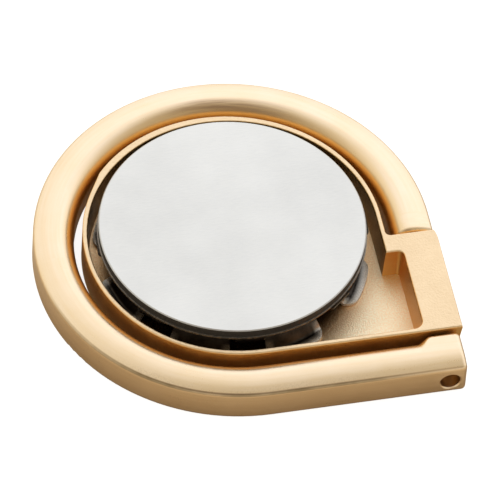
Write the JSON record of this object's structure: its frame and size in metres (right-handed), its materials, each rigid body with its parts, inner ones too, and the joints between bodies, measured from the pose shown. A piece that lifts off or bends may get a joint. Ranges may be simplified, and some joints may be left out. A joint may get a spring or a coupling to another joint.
{
  "type": "phone ring holder",
  "caption": "Drop-shaped phone ring holder: a gold finger ring hinged on a cast cup, which swivels on a round steel plate that is glued to a phone.",
  "frame": {"origin": "on the swivel axis, in the plane of the front face that lies on the table", "axes": "+Z along the swivel axis, from the front face up to the plate's glued side; +X towards the hinge block; Y along the hinge pin, with the long straight leg of the ring on the -Y side"},
  "size_m": [0.0403, 0.0402, 0.0057],
  "materials": {
    "gold_ring": "satin gold plating on a zinc casting",
    "gold_frame": "matt sand-blasted gold plating on a zinc casting",
    "plate_steel": "pale rolled sheet, finely streaked, with a dark punched edge",
    "spring_steel": "bare spring steel, semi-gloss",
    "pin_steel": "dark drawn wire",
    "stud_steel": "turned, spread head",
    "washer_plastic": "black, matt"
  },
  "bodies": {
    "plate_body": {"swivel_plate": "plate_steel", "swivel_stud": "stud_steel", "petal_spring": "spring_steel"},
    "frame_body": {"frame": "gold_frame"},
    "ring_body": {"ring": "gold_ring", "hinge_pin": "pin_steel", "hinge_washer_near": "washer_plastic", "hinge_washer_far": "washer_plastic"}
  },
  "joints": [
    {"name": "swivel", "type": "hinge", "parent": "plate_body", "child": "frame_body", "pos_m": [0, 0, 0], "axis": [0, 0, 1], "continuous": true},
    {"name": "ring_flip", "type": "hinge", "parent": "frame_body", "child": "ring_body", "pos_m": [0.01828, -0.009, 0.00174], "axis": [0, -1, 0], "range_deg": [0, 180]}
  ]
}
